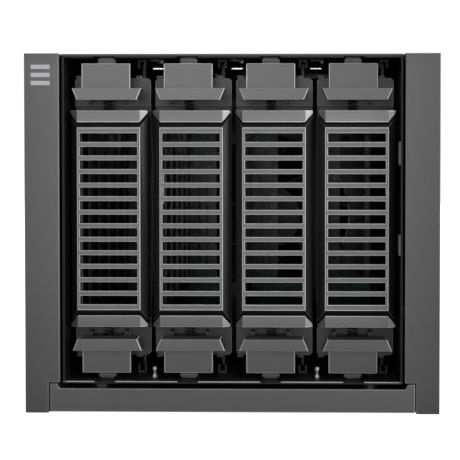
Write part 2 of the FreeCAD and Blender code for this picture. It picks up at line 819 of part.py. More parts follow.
def make_ports():
    """The connectors on the main board."""
    link_y = ("backplane_front + board_thick", 85)
    keep("link_connector", box(("-control_face", "8 - control_face"), link_y, LINK_Z))
    shell = box(LAN_X, (LAN_FRONT, "port_back"), LAN_Z)
    keep("lan_port", cut(shell, [box(LAN_CAVITY_X, (LAN_CAVITY_FRONT, "port_back + 1"), LAN_CAVITY_Z)]))
    ports = []
    for low in USB_LOWS:
        shell = box(USB_X, (USB_FRONT, "port_back"), (low, low + USB_WIDTH))
        mouth = box((USB_X[0] + 0.4, USB_X[1] - 0.4), (USB_FRONT + 2.5, "port_back + 1"), (low + 0.4, low + USB_WIDTH - 0.4))
        tongue_x = (USB_X[0] + 1.35, USB_X[1] - 1.35)
        tongue = box(tongue_x, (USB_FRONT + 2.5, "port_back - 1"), (low + 1.4, low + USB_WIDTH - 1.4))
        ports.append(fuse([cut(shell, [mouth]), tongue]))
    keep("usb_ports", group(ports))
    housing = box(JACK_X, (JACK_FRONT, "port_back"), JACK_Z)
    middle = (sum(JACK_X) / 2, JACK_FRONT + 4, sum(JACK_Z) / 2)
    bore = cylinder("Y", middle, JACK_BORE, 20)
    pin = cylinder("Y", middle, 1.0, "port_back - 1.5 - 102")
    keep("dc_jack", fuse([cut(housing, [bore]), pin]))


def make_heat_sink():
    """A finned aluminium block on the processor."""
    plate = box(("-control_face", "2.5 - control_face"), SINK_Y, SINK_Z)
    parts = [plate]
    step = (SINK_Z[1] - SINK_Z[0] - 1.0) / (SINK_FINS - 1)
    for i in range(SINK_FINS):
        low = SINK_Z[0] + i * step
        parts.append(box(("-control_face", "11 - control_face"), SINK_Y, (low, low + 1.0)))
    keep("heat_sink", fuse(parts))


# ---------------------------------------------------------------- rear panel and power button
def fan_corners():
    """Places of the fan's four screws."""
    return [(f"fan_x + {x} * fan_hole_span", f"fan_z + {z} * fan_hole_span") for x in (-1, 1) for z in (-1, 1)]


def make_rear_panel():
    """The sheet that closes the cage's back, with the fan opening, ports and a row of vents."""
    body = new_body("rear_panel")
    outline = rectangle(("-rear_half", "rear_half"), ("cage_floor", "roof_under"))
    pad(body, "XZ", "rear_front", "cage_half_depth - rear_front", 1, [outline])
    cuts = [disc("fan_x", "fan_z", "fan_opening")]
    cuts += [disc(x, z, "fan_hole + 0.1") for x, z in fan_corners()]
    cuts += [disc(x, COVER_SCREW_Z, "screw_radius + screw_gap") for x in COVER_SCREW_X]
    cuts.append(disc("-button_x", "button_z", "button_radius + button_gap"))
    cuts.append(around(LAN_X, LAN_Z, PORT_GAP))
    cuts.append(around(JACK_X, JACK_Z, PORT_GAP))
    cuts += [around(USB_X, (low, low + USB_WIDTH), PORT_GAP) for low in USB_LOWS]
    pocket(body, "XZ", "rear_front", "cage_half_depth - rear_front", 1, cuts)
    vent = pocket(body, "XZ", "rear_front", "cage_half_depth - rear_front", 1, [rectangle((-34, -31), (113.5, 126))])
    pattern(body, vent, "X", 91, 14)


def make_power_button():
    """The rear power button with the flange that keeps it in, and the switch behind it."""
    flange = cylinder("Y", ("-button_x", "rear_front - 1.9", "button_z"), "button_radius + 0.9", 1.8)
    stem = cylinder("Y", ("-button_x", "rear_front - 4.5", "button_z"), 1.6, 3)
    knob = cylinder("Y", ("-button_x", "rear_front - 1", "button_z"), "button_radius", 4.5)
    keep("power_button", fuse([flange, stem, knob]))
    z = ("button_z - 6", "button_z + 6")
    housing = box(("-control_face", "12 - control_face"), (95, 107.5), z)
    well = cylinder("Y", ("-button_x", 103, "button_z"), 2.2, 6)
    keep("power_switch", cut(housing, [well]))


# ---------------------------------------------------------------- fan
BLADES = 11
BLADE_ANGLE = 33


def make_fan_frame():
    """A square fan housing with struts and the motor's fixed part."""
    across = ("fan_x - fan_half", "fan_x + fan_half")
    heights = ("fan_z - fan_half", "fan_z + fan_half")
    block = box(across, ("fan_front", "fan_back"), heights)
    duct = cylinder("Y", ("fan_x", "fan_front", "fan_z"), "fan_bore", "fan_back - fan_front")
    holes = [cylinder("Y", (x, "fan_front", z), "fan_hole", "fan_back - fan_front") for x, z in fan_corners()]
    frame = cut(block, [duct] + holes)
    strut_y = ("fan_back - 2.5", "fan_back")
    middle = ("fan_x", "fan_back - 2.5", "fan_z")
    struts = [
        box(("fan_x - fan_bore - 0.5", "fan_x + fan_bore + 0.5"), strut_y, ("fan_z - 2", "fan_z + 2")),
        box(("fan_x - 2", "fan_x + 2"), strut_y, ("fan_z - fan_bore - 0.5", "fan_z + fan_bore + 0.5")),
        cylinder("Y", middle, "rotor_hub", 2.5),
        cylinder("Y", ("fan_x", "rotor_front + 4", "fan_z"), 4, "fan_back - rotor_front - 4.5"),
        cylinder("Y", ("fan_x", "rotor_front + 5", "fan_z"), 13, 9),
    ]
    bearing = cylinder("Y", ("fan_x", "rotor_front", "fan_z"), "shaft_radius + shaft_gap", 20)
    keep("fan_frame", cut(fuse([frame] + struts), [bearing]))


def make_fan_rotor():
    """The turning hub, its shaft and eleven pitched blades."""
    hub_length = "rotor_back - rotor_front"
    hub = cylinder("Y", ("fan_x", "rotor_front", "fan_z"), "rotor_hub", hub_length)
    cup = cylinder("Y", ("fan_x", "rotor_front + 2", "fan_z"), "rotor_hub - 2", hub_length)
    shaft = cylinder("Y", ("fan_x", "rotor_front + 1", "fan_z"), "shaft_radius", 18)
    blades = []
    for i in range(BLADES):
        blade = doc.addObject("Part::Box", "blade")
        bind(blade, Length=30, Width=1.6, Height="rotor_radius - rotor_hub + 2")
        pitch = FreeCAD.Rotation(FreeCAD.Vector(0, 0, 1), BLADE_ANGLE)
        spin = FreeCAD.Rotation(FreeCAD.Vector(0, 1, 0), i * 360.0 / BLADES)
        turn = spin.multiply(pitch)
        foot = turn.multVec(FreeCAD.Vector(-15, -0.8, 0)) + spin.multVec(FreeCAD.Vector(0, 0, 15))
        blade.Placement.Rotation = turn
        put(blade, f"fan_x + ({foot.x})", f"rotor_front + 8.5 + ({foot.y})", f"fan_z + ({foot.z})")
        blades.append(blade)
    disc_space = cylinder("Y", ("fan_x", "rotor_front", "fan_z"), "rotor_radius", 19)
    swept = doc.addObject("Part::Common", "swept")
    swept.Base = fuse(blades)
    swept.Tool = disc_space
    core = cylinder("Y", ("fan_x", "rotor_front", "fan_z"), "rotor_hub - 1", 30)
    keep("fan_rotor", fuse([cut(hub, [cup]), shaft, cut(swept, [core])]))


def make_fan_guard():
    """Wire rings on diagonal wires, ending in eyes for the fan's screws."""
    parts = []
    for ring in range(1, 7):
        torus = doc.addObject("Part::Torus", "ring")
        torus.Placement.Rotation = FreeCAD.Rotation(FreeCAD.Vector(1, 0, 0), 90)
        bind(torus, Radius1=f"{ring} * guard_pitch + 1", Radius2="guard_wire")
        put(torus, "fan_x", "guard_middle", "fan_z")
        parts.append(torus)
    for angle in (45, 135, 225, 315):
        wire = doc.addObject("Part::Cylinder", "wire")
        wire.Placement.Rotation = FreeCAD.Rotation(FreeCAD.Vector(0, 1, 0), angle)
        bind(wire, Radius="guard_wire", Height="fan_hole_span * 1.4142 - 3")
        put(wire, "fan_x", "guard_middle", "fan_z")
        parts.append(wire)
    holes = []
    for x, z in fan_corners():
        parts.append(cylinder("Y", (x, "cage_half_depth", z), 4.2, 1.6))
        holes.append(cylinder("Y", (x, "cage_half_depth - 1", z), "fan_hole + 0.1", 4))
    keep("fan_guard", cut(fuse(parts), holes))


# ---------------------------------------------------------------- fasteners
def make_screw(axis_foot, radius, shank, head_foot, head_radius, head):
    """A screw along Y: a shank and its head."""
    return fuse([cylinder("Y", axis_foot, radius, shank), cylinder("Y", head_foot, head_radius, head)])


def make_fasteners():
    """Every group of identical screws."""
    fan = []
    for x, z in fan_corners():
        fan.append(make_screw((x, 100, z), "fan_hole - 0.15", 14, (x, "cage_half_depth + 1.6", z), 4, 1.4))
    keep("fan_screws", group(fan))
    cover = []
    for x in COVER_SCREW_X:
        z = COVER_SCREW_Z
        cover.append(make_screw((x, 105, z), "screw_radius", 8.5, (x, "cage_half_depth + 1", z), "head_radius", 2))
    keep("cover_screws", group(cover))
    panel = []
    for side in (-1, 1):
        for z in PANEL_SCREW_Z:
            x = side * PANEL_SCREW_X
            panel.append(make_screw((x, 106, z), "screw_radius", 7, (x, 112.5, z), "head_radius", 2))
    keep("panel_screws", group(panel))
    base = []
    for x, y in boss_places():
        shank = cylinder("Z", (x, y, "pan_bottom + 0.3"), "screw_radius", 12)
        head = cylinder("Z", (x, y, "pan_bottom + 0.3"), "head_radius", 2.1)
        base.append(fuse([shank, head]))
    keep("base_screws", group(base))


def build():
    """Makes every sub-part."""
    make_side_panel("left_side_panel", -1)
    make_side_panel("right_side_panel", 1)
    make_badge()
    make_top_cover()
    make_base_pan()
    make_feet()
    make_chassis_tub()
    make_cage_roof()
    make_guides("guide_rails_upper", 1, "roof_under")
    make_guides("guide_rails_lower", -1, "cage_floor")
    make_bay_springs()
    make_floor_studs()
    for bay in BAYS:
        make_tray(bay)
    make_backplane()
    make_backplane_brackets()
    make_drive_sockets()
    make_controller_board()
    make_board_standoffs()
    make_ports()
    make_heat_sink()
    make_rear_panel()
    make_power_button()
    make_fan_frame()
    make_fan_rotor()
    make_fan_guard()
    make_fasteners()
    doc.recompute()


def check():
    """Stops if any object failed or any sub-part has no sound solid."""
    for item in doc.Objects:
        if "Invalid" in item.State or "Error" in item.State:
            raise RuntimeError(f"{item.Label} failed: {item.State}")
    for label, item in nodes.items():
        if item.Shape.isNull() or not item.Shape.isValid() or not item.Shape.Solids:
            raise RuntimeError(f"{label} has no sound solid")


def write():
    """Writes each sub-part to its own file."""
    os.makedirs("parts", exist_ok=True)
    for label, item in nodes.items():
        item.Shape.exportStep(f"parts/{label}.step")
        bounds = item.Shape.BoundBox
        print(
            f"{label}: {len(item.Shape.Solids)} solids, {item.Shape.Volume:.1f} mm3,"
            f" x {bounds.XMin:.2f} {bounds.XMax:.2f} y {bounds.YMin:.2f} {bounds.YMax:.2f}"
            f" z {bounds.ZMin:.2f} {bounds.ZMax:.2f}"
        )


build()
check()
write()
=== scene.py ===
"""Looks of a four-bay network storage enclosure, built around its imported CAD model.

Metres, front towards -Y, +Z up. Tables of small parts are in millimetres, where their comment says so.
"""

import json
import math
import random

import bmesh
import bpy
from mathutils import Euler, Matrix, Vector


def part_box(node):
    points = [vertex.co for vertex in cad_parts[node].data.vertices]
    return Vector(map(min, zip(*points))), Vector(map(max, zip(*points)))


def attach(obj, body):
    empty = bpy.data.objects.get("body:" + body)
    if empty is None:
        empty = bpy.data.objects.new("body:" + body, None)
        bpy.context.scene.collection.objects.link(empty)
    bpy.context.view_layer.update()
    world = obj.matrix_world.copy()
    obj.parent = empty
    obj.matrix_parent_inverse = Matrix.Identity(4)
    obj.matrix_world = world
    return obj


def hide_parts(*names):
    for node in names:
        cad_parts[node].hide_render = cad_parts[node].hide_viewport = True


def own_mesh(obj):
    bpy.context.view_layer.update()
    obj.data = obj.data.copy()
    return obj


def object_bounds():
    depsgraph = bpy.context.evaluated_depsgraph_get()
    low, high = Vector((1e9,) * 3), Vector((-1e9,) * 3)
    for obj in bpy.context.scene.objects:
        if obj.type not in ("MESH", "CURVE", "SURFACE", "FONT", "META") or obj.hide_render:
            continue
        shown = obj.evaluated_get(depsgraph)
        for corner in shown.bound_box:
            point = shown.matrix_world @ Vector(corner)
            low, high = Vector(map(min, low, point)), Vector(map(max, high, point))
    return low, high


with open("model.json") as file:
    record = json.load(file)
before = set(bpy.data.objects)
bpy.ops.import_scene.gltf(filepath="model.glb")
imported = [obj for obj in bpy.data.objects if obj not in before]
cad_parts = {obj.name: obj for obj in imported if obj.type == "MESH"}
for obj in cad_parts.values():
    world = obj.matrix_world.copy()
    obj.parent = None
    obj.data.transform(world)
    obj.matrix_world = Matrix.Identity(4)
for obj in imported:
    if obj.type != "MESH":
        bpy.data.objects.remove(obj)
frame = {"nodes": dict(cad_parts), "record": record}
cad_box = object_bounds()

NODES = frame["nodes"]
BAYS = (1, 2, 3, 4)
BAY_PITCH = 32.2  # mm
SIDES = ("upper", "lower")
MM = 0.001
TINY = 0.0001  # width of a sharp change of tone
WELD_GAP = 0.000002  # corners closer than this are one
random.seed(11)


# ---------------------------------------------------------------- materials
def node_material(name):
    """A new material with its tree, shader and a place in the object's own coordinates."""
    material = bpy.data.materials.new(name)
    material.use_nodes = True
    tree = material.node_tree
    shader = tree.nodes["Principled BSDF"]
    place = tree.nodes.new("ShaderNodeTexCoord")
    return material, tree, shader, place.outputs["Object"]


def noise(tree, place, scale, detail=4.0, roughness=0.55):
    """A noise texture's value."""
    texture = tree.nodes.new("ShaderNodeTexNoise")
    texture.inputs["Scale"].default_value = scale
    texture.inputs["Detail"].default_value = detail
    texture.inputs["Roughness"].default_value = roughness
    tree.links.new(place, texture.inputs["Vector"])
    return texture.outputs["Fac"]


def ramp(tree, value, stops):
    """A colour ramp over a value; stops are (position, colour)."""
    node = tree.nodes.new("ShaderNodeValToRGB")
    first, last = node.color_ramp.elements[0], node.color_ramp.elements[1]
    first.position, first.color = stops[0][0], (*stops[0][1], 1)
    last.position, last.color = stops[-1][0], (*stops[-1][1], 1)
    for position, colour in stops[1:-1]:
        node.color_ramp.elements.new(position).color = (*colour, 1)
    tree.links.new(value, node.inputs["Fac"])
    return node.outputs["Color"]


def spread(tree, value, low, high):
    """Maps a value from 0..1 to low..high."""
    node = tree.nodes.new("ShaderNodeMapRange")
    node.inputs["To Min"].default_value = low
    node.inputs["To Max"].default_value = high
    tree.links.new(value, node.inputs["Value"])
    return node.outputs["Result"]


def bump(tree, value, strength, distance):
    """A bump normal from a value."""
    node = tree.nodes.new("ShaderNodeBump")
    node.inputs["Strength"].default_value = strength
    node.inputs["Distance"].default_value = distance
    tree.links.new(value, node.inputs["Height"])
    return node.outputs["Normal"]


def beyond(tree, place, axis, low, high):
    """Zero before one place along an axis, one after another, and even between them."""
    split = tree.nodes.new("ShaderNodeSeparateXYZ")
    tree.links.new(place, split.inputs["Vector"])
    step = tree.nodes.new("ShaderNodeMapRange")
    step.inputs["From Min"].default_value = low
    step.inputs["From Max"].default_value = high
    tree.links.new(split.outputs[axis], step.inputs["Value"])
    return step.outputs["Result"]


def painted_band_gain(tree, place, front, low, high, gain):
    """One everywhere but in front of a place along Y and between two heights, where it is the gain of a
    painted highlight band.
    """
    parts = [
        spread(tree, beyond(tree, place, "Y", front - TINY, front), 1.0, 0.0),
        beyond(tree, place, "Z", low - TINY, low),
        spread(tree, beyond(tree, place, "Z", high, high + TINY), 1.0, 0.0),
    ]
    share = parts[0]
    for part in parts[1:]:
        both = tree.nodes.new("ShaderNodeMath")
        both.operation = "MULTIPLY"
        tree.links.new(share, both.inputs[0])
        tree.links.new(part, both.inputs[1])
        share = both.outputs["Value"]
    return spread(tree, share, 1.0, gain)


def scaled(tree, colour, gain):
    """A colour multiplied by a value."""
    scale = tree.nodes.new("ShaderNodeVectorMath")
    scale.operation = "SCALE"
    tree.links.new(colour, scale.inputs[0])
    tree.links.new(gain, scale.inputs["Scale"])
    return scale.outputs["Vector"]


def toned(tree, place, colour, tones):
    """Scales a colour along axes, painting light and shade onto it.

    Each tone is (axis, last plain place, first place with the full gain, gain).
    """
    for axis, plain, full, gain in tones:
        colour = scaled(tree, colour, spread(tree, beyond(tree, place, axis, plain, full), 1.0, gain))
    return colour


def faced(tree, colour, facings):
    """Scales a colour by the way the surface faces, as painted light from one side; a facing is a tone over
    the normal's components.
    """
    normal = tree.nodes.new("ShaderNodeTexCoord").outputs["Normal"]
    return toned(tree, normal, colour, facings)


def shade(colour, gain):
    """A colour made lighter or darker."""
    return tuple(channel * gain for channel in colour)


def moulded_plastic(name, colour, grain, depth, rough, specular=1.0, tones=(), facings=()):
    """Satin plastic with a fine grain of a given scale and depth, and faint flow marks; tones and facings
    paint light and shade onto its colour.
    """
    material, tree, shader, place = node_material(name)
    flow = noise(tree, place, 22.0, 3.0)
    tint = ramp(tree, flow, [(0.3, shade(colour, 0.9)), (0.7, shade(colour, 1.1))])
    tint = faced(tree, toned(tree, place, tint, tones), facings)
    tree.links.new(tint, shader.inputs["Base Color"])
    fine = noise(tree, place, grain, 3.0, 0.7)
    tree.links.new(spread(tree, fine, *rough), shader.inputs["Roughness"])
    tree.links.new(bump(tree, fine, 0.35, depth), shader.inputs["Normal"])
    shader.inputs["Specular IOR Level"].default_value = specular
    return material


def painted_sheet(name, colour, rough=(0.38, 0.55), specular=0.5, painted_highlight=None, tones=()):
    """Powder coat: small orange-peel over a slightly uneven colour.

    A painted highlight of (y, z, z, gain) lightens the colour by the gain in front of y and between two
    heights.
    """
    material, tree, shader, place = node_material(name)
    cloud = noise(tree, place, 14.0, 5.0)
    tint = ramp(tree, cloud, [(0.3, shade(colour, 0.88)), (0.7, shade(colour, 1.12))])
    tint = toned(tree, place, tint, tones)
    # the painted highlight along the edge
    if painted_highlight:
        front, low, high, gain = painted_highlight
        tint = scaled(tree, tint, painted_band_gain(tree, place, front, low, high, gain))
    tree.links.new(tint, shader.inputs["Base Color"])
    peel = noise(tree, place, 1400.0, 2.0, 0.5)
    tree.links.new(spread(tree, peel, *rough), shader.inputs["Roughness"])
    tree.links.new(bump(tree, peel, 0.3, 0.00008), shader.inputs["Normal"])
    shader.inputs["Specular IOR Level"].default_value = specular
    return material


def bright_metal(name, colour, rough=(0.16, 0.34), stretch=(1.0, 1.0, 14.0), tones=()):
    """Plated metal with drawn or rolled marks along one direction."""
    material, tree, shader, place = node_material(name)
    mapping = tree.nodes.new("ShaderNodeMapping")
    mapping.inputs["Scale"].default_value = stretch
    tree.links.new(place, mapping.inputs["Vector"])
    marks = noise(tree, mapping.outputs["Vector"], 420.0, 5.0, 0.6)
    tint = toned(tree, place, ramp(tree, marks, [(0.25, shade(colour, 0.84)), (0.75, colour)]), tones)
    tree.links.new(tint, shader.inputs["Base Color"])
    tree.links.new(spread(tree, marks, *rough), shader.inputs["Roughness"])
    tree.links.new(bump(tree, marks, 0.15, 0.00003), shader.inputs["Normal"])
    shader.inputs["Metallic"].default_value = 1.0
    return material


def circuit_board(name):
    """Solder mask with raised tracks and small plated holes."""
    material, tree, shader, place = node_material(name)
    tracks = tree.nodes.new("ShaderNodeTexVoronoi")
    tracks.feature = "DISTANCE_TO_EDGE"
    tracks.inputs["Scale"].default_value = 330.0
    tree.links.new(place, tracks.inputs["Vector"])
    mask = ramp(tree, tracks.outputs["Distance"], [(0.04, (0.02, 0.13, 0.07)), (0.1, (0.008, 0.055, 0.03))])
    tree.links.new(mask, shader.inputs["Base Color"])
    tree.links.new(bump(tree, tracks.outputs["Distance"], 0.4, 0.00005), shader.inputs["Normal"])
    gloss = noise(tree, place, 600.0, 2.0)
    tree.links.new(spread(tree, gloss, 0.22, 0.4), shader.inputs["Roughness"])
    return material


def rubber(name, colour):
    """Dull rubber with a coarse skin."""
    material, tree, shader, place = node_material(name)
    skin = noise(tree, place, 900.0, 4.0)
    tint = ramp(tree, skin, [(0.2, shade(colour, 0.8)), (0.8, shade(colour, 1.3))])
    tree.links.new(tint, shader.inputs["Base Color"])
    tree.links.new(spread(tree, skin, 0.7, 0.95), shader.inputs["Roughness"])
    tree.links.new(bump(tree, skin, 0.5, 0.0001), shader.inputs["Normal"])
    return material


# painted light and shade, as tones: (axis, last plain place, first place with the full gain, gain)
# painted shade on the case's paint: darker towards the right, out across each pillar, down to the foot and up
# to the top edge
CASE_PAINTED_SHADE = [
    ("X", 0.0, 0.05, 0.75),  # towards the right
    ("X", -0.067, -0.08, 0.6),  # out across the left pillar
    ("X", 0.067, 0.08, 0.42),  # out across the right pillar
    ("Z", 0.065, 0.0, 0.65),  # down to the foot
    ("Z", 0.1345, 0.139, 0.6),  # up to the top edge
]
CAGE_WALL_PAINTED_SHADE = [("X", -0.0642, -0.0652, 0.2), ("X", 0.0642, 0.0652, 0.2)]  # painted shade darkening the walls
CAGE_EDGE_PAINTED_HIGHLIGHT = (-0.1118, 0.0117, 0.012, 40.0)  # painted highlight on the floor's front edge: y, low z, high z, gain
GRILLE_PAINTED_LIGHT = [("Y", -0.1088, -0.10895, 12.0)]  # painted light: the front face lighter than the chamfers and slot walls behind it
# painted light and shade on the latches
LATCH_PAINTED_LIGHT = [
    ("X", -0.02, 0.05, 0.6),  # painted shade towards the right
    ("Y", -0.1045, -0.1055, 4.3),  # painted light on the front of the tabs and lips
    ("Z", 0.045, 0.02, 0.7),  # painted shade on the lower latches
    ("Z", 0.1354, 0.1356, 0.12),  # the root of the upper noses, in shade
    ("Z", 0.1363, 0.1365, 6.0),  # the rest of them
    ("Z", 0.0144, 0.0142, 0.3),  # the root of the lower noses, in shade
    ("Z", 0.0136, 0.0134, 3.0),  # the rest of them
]
# painted light and shade on the tray carriers
CARRIER_PAINTED_LIGHT = [
    ("Y", -0.0935, -0.0945, 4.5),  # painted light on the plate's face
    ("Y", -0.0952, -0.0958, 0.21),  # plain again in front of the plate
    ("Y", -0.107, -0.1078, 17.0),  # painted light on the caps' front
    ("Z", 0.117, 0.1172, 0.15),  # the shaded groove above the upper caps
    ("Z", 0.1187, 0.1189, 6.7),  # plain again above the groove
    ("Z", 0.045, 0.034, 0.55),  # painted shade on the lower caps
]
CAP_PAINTED_SIDE_LIGHT = [("X", 0.3, 0.6, 3.0), ("X", -0.3, -0.6, 0.25)]  # painted light from the right: right-facing faces lighter, left-facing faces darker


PAINT_GREY = (0.035, 0.035, 0.036)
DEEP_BLACK = (0.015, 0.015, 0.016)
SATIN = (0.32, 0.42)
PLASTICS = {  # colour, grain, grain depth, roughness, specular level, tones and facings of painted light and shade
    "panel_paint": (PAINT_GREY, 1900.0, 0.00005, (0.34, 0.44), 0.7, CASE_PAINTED_SHADE),
    "pan_plastic": (PAINT_GREY, 1900.0, 0.00005, (0.34, 0.44), 0.7),
    "guide_plastic": (DEEP_BLACK, 2600.0, 0.00006, (0.36, 0.48), 0.3),
    "connector_black": ((0.018, 0.018, 0.02), 1500.0, 0.00003, (0.25, 0.4), 0.5),
    "fan_plastic": (DEEP_BLACK, 1700.0, 0.00004, (0.34, 0.5), 0.5),
    "button_plastic": ((0.2, 0.2, 0.21), 1900.0, 0.00002, (0.28, 0.42)),
    "tray_plastic": ((0.006, 0.006, 0.0061), 2300.0, 0.00005, SATIN, 0.6, GRILLE_PAINTED_LIGHT),
    "latch_plastic": ((0.01, 0.01, 0.0102), 2300.0, 0.00005, SATIN, 0.8, LATCH_PAINTED_LIGHT),
    # a copy of the trays' plastic for the carriers, with its own painted light and shade
    "carrier_plastic": (
        (0.008, 0.008, 0.0082), 2300.0, 0.00005, (0.4, 0.5), 0.55, CARRIER_PAINTED_LIGHT, CAP_PAINTED_SIDE_LIGHT
    ),
    "chip_black": ((0.02, 0.02, 0.022), 3000.0, 0.00002, (0.35, 0.55)),
    "capacitor_tan": ((0.32, 0.2, 0.11), 3000.0, 0.00001, (0.4, 0.5)),
}
# how much lighter the eased edges are than the faces: a painted highlight along the edges
EDGE_HIGHLIGHT_GAINS = {
    "panel_paint": 4.5,
    "pan_plastic": 4.5,
    "tray_plastic": 5.5,
    "latch_plastic": 12.0,
    "carrier_plastic": 4.5,
}
MATERIALS = {name: moulded_plastic(name, *row) for name, row in PLASTICS.items()}
# lighter copies of the materials for the eased edges: painted highlight
EDGES = {}
for name, gain in EDGE_HIGHLIGHT_GAINS.items():
    colour, *rest = PLASTICS[name]
    EDGES[name] = moulded_plastic(name + "_edge", shade(colour, gain), *rest)
MATERIALS["badge_metal"] = bright_metal("badge_metal", (0.34, 0.34, 0.35), (0.4, 0.55))
MATERIALS["cover_paint"] = painted_sheet("cover_paint", (0.03, 0.03, 0.031))
MATERIALS["cage_steel"] = painted_sheet(
    "cage_steel", (0.008, 0.008, 0.0085), specular=0.25, painted_highlight=CAGE_EDGE_PAINTED_HIGHLIGHT, tones=CAGE_WALL_PAINTED_SHADE
)
MATERIALS["bright_steel"] = bright_metal("bright_steel", (0.78, 0.78, 0.8))
MATERIALS["foot_rubber"] = rubber("foot_rubber", (0.03, 0.03, 0.03))
MATERIALS["board_green"] = circuit_board("board_green")
MATERIALS["sink_aluminium"] = bright_metal("sink_aluminium", (0.6, 0.6, 0.63), (0.3, 0.5), (1.0, 9.0, 1.0))
CLIP = moulded_plastic("clip_plastic", (0.045, 0.045, 0.046), 2300.0, 0.00003, (0.35, 0.5), 0.5)
LEAF_TONES = [("Z", 0.1352, 0.1356, 0.04)]  # the shaded root under the roof
LEAF = bright_metal("leaf_steel", (0.8, 0.8, 0.82), tones=LEAF_TONES)
DULL = bright_metal("dull_steel", (0.3, 0.3, 0.31), (0.4, 0.55))
COIL = bright_metal("spring_steel", (0.03, 0.03, 0.031), (0.45, 0.6))
GOLD = bright_metal("contact_gold", (0.85, 0.62, 0.28), (0.2, 0.35))


# ---------------------------------------------------------------- CAD nodes
# width of each node's eased edges, in millimetres
BEVELS = {
    "left_side_panel": 0.3,
    "right_side_panel": 0.3,
    "base_pan": 0.25,
    "top_cover": 0.15,
    "cage_roof": 0.08,
    "chassis_tub": 0.15,
    "rear_panel": 0.15,
    "fan_frame": 0.4,
    "fan_rotor": 0.25,
    "power_button": 0.4,
    "feet": 0.25,
    "pillar_badge": 0.1,
    "bay_springs": 0.05,
    "guide_rails_upper": 0.15,
    "guide_rails_lower": 0.15,
}
for bay in BAYS:
    BEVELS[f"tray_carrier_{bay}"] = 0.18
    BEVELS[f"tray_grille_{bay}"] = 0.2
    for side in SIDES:
        BEVELS[f"latch_{side}_{bay}"] = 0.25
PLAIN_BEVEL = 0.12
# on these, clamping would take the ease away altogether
UNCLAMPED = ("latch_upper", "latch_lower", "tray_carrier")
SLOT_OF = {part["node"]: part["material_slot"] for part in frame["record"]["subparts"]}


def dress(node):
    """Gives a CAD node its materials and eased edges; where the material has a lighter edge copy, the eased
    edges take it as a painted highlight.
    """
    item = NODES[node]
    item.data.materials.clear()
    # the carriers take their own copy of the trays' plastic, with its painted light and shade
    kind = "carrier_plastic" if node.startswith("tray_carrier") else SLOT_OF[node]
    item.data.materials.append(LEAF if node == "bay_springs" else MATERIALS[kind])
    if kind in EDGES:
        item.data.materials.append(EDGES[kind])
    weld = item.modifiers.new("weld", "WELD")
    weld.merge_threshold = WELD_GAP
    ease = item.modifiers.new("ease", "BEVEL")
    ease.width = BEVELS.get(node, PLAIN_BEVEL) * MM
    ease.segments = 2
    ease.limit_method = "ANGLE"
    ease.angle_limit = math.radians(38)
    ease.use_clamp_overlap = not node.startswith(UNCLAMPED)
    ease.miter_outer = "MITER_SHARP"
    # the eased edges take the lighter copy: painted highlight
    if kind in EDGES:
        ease.material = 1


for node in NODES:
    dress(node)


# ---------------------------------------------------------------- mesh helpers
def new_piece(name, mesh_maker, material, body, smooth=True):
    """A piece made by mesh_maker(bmesh), which rides on a body."""
    mesh = bpy.data.meshes.new(name)
    work = bmesh.new()
    mesh_maker(work)
    bmesh.ops.recalc_face_normals(work, faces=work.faces)
    work.to_mesh(mesh)
    work.free()
    mesh.materials.append(material)
    for polygon in mesh.polygons:
        polygon.use_smooth = smooth
    item = bpy.data.objects.new(name, mesh)
    bpy.context.scene.collection.objects.link(item)
    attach(item, body)
    return item


def add_box(work, low, high, ease=0.0):
    """Adds a box between two corners, with eased edges."""
    size = Vector(high) - Vector(low)
    middle = (Vector(low) + Vector(high)) / 2
    made = bmesh.ops.create_cube(work, size=1.0)
    matrix = Matrix.Translation(middle) @ Matrix.Diagonal((*size, 1))
    bmesh.ops.transform(work, matrix=matrix, verts=made["verts"])
    if ease:
        edges = list({edge for vert in made["verts"] for edge in vert.link_edges})
        bmesh.ops.bevel(work, geom=edges, offset=ease, segments=2, affect="EDGES", profile=0.5)


def in_mm(profile):
    """A profile of (radius, height) points in millimetres, turned into metres."""
    return [(radius * MM, height * MM) for radius, height in profile]


def add_lathe(work, matrix, profile, steps):
    """Adds a body of revolution about local Z from (radius, height) points, closed at both ends."""
    rings = []
    for radius, height in profile:
        ring = []
        for i in range(steps):
            angle = 2 * math.pi * i / steps
            corner = Vector((radius * math.cos(angle), radius * math.sin(angle), height))
            ring.append(work.verts.new(matrix @ corner))
        rings.append(ring)
    for low, high in zip(rings, rings[1:]):
        for i in range(steps):
            j = (i + 1) % steps
            work.faces.new((low[i], low[j], high[j], high[i]))
    work.faces.new(rings[0][::-1])
    work.faces.new(rings[-1])


def helix(work, centre, radius, wire, height, turns, steps=20, ring=8):
    """Adds a coil spring with flattened end turns about Z, from centre upwards; wire is its radius."""
    flattening = 0.06
    count = int(turns * steps)
    previous = None
    for i in range(count + 1):
        share = i / count
        angle = 2 * math.pi * turns * share
        rise = wire + (height - 2 * wire) * (share - flattening * math.sin(2 * math.pi * share))
        spine = Vector((radius * math.cos(angle), radius * math.sin(angle), rise))
        outward = Vector((math.cos(angle), math.sin(angle), 0))
        circle = []
        for j in range(ring):
            turn = 2 * math.pi * j / ring
            offset = outward * wire * math.cos(turn) + Vector((0, 0, wire * math.sin(turn)))
            circle.append(work.verts.new(Vector(centre) + spine + offset))
        if previous:
            for j in range(ring):
                k = (j + 1) % ring
                work.faces.new((previous[j], previous[k], circle[k], circle[j]))
        else:
            work.faces.new(circle[::-1])
        previous = circle
    work.faces.new(previous)


# ---------------------------------------------------------------- latch springs
SPRING_WIRE = 0.22 * MM
SPRING_TURNS = 4.0


